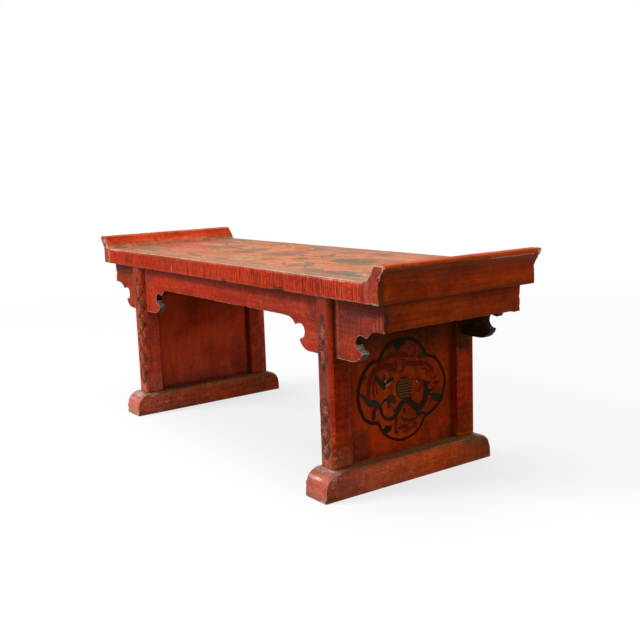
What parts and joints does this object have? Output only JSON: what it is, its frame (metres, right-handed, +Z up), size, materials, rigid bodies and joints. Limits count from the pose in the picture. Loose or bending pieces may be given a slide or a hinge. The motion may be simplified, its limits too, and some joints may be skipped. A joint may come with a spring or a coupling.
{
  "type": "display stand",
  "caption": "Small altar-shaped display stand in painted wood: a long top with everted ends on two panelled trestles with shoe feet and cloud spandrels.",
  "frame": {"origin": "floor level under the middle of the top, at the centre of the stand's box", "axes": "+X along the top, towards the right trestle; -Y to the front; +Z up"},
  "size_m": [0.663, 0.2382, 0.2501],
  "materials": {
    "top_lacquer": "worn coral paint with faded flowers, satin",
    "red_lacquer": "red lacquer with worn edges, satin",
    "end_lacquer": "brown-red lacquer with worn edges, satin",
    "post_lacquer": "red lacquer with a painted lozenge vine, satin",
    "foot_lacquer": "red-brown lacquer, rubbed and dusty, satin",
    "panel_lacquer": "dark red lacquer with a painted cartouche, satin",
    "bare_wood": "bare dark wood, dull",
    "peg_wood": "bare peg end, dull"
  },
  "bodies": {
    "root": {"top_board": "top_lacquer", "everted_end_left": "end_lacquer", "everted_end_right": "end_lacquer", "apron_front": "red_lacquer", "apron_back": "red_lacquer", "end_apron_left": "end_lacquer", "end_apron_right": "end_lacquer", "spandrel_front_left_outer": "red_lacquer", "spandrel_front_left_inner": "red_lacquer", "spandrel_front_right_inner": "red_lacquer", "spandrel_front_right_outer": "red_lacquer", "spandrel_back_left_outer": "red_lacquer", "spandrel_back_left_inner": "red_lacquer", "spandrel_back_right_inner": "red_lacquer", "spandrel_back_right_outer": "red_lacquer", "post_front_left": "post_lacquer", "post_front_right": "post_lacquer", "post_back_left": "post_lacquer", "post_back_right": "post_lacquer", "foot_left": "foot_lacquer", "foot_right": "foot_lacquer", "panel_left": "panel_lacquer", "panel_right": "panel_lacquer", "top_rail_left": "bare_wood", "top_rail_right": "bare_wood", "foot_pegs_left": "peg_wood", "foot_pegs_right": "peg_wood"}
  },
  "joints": []
}
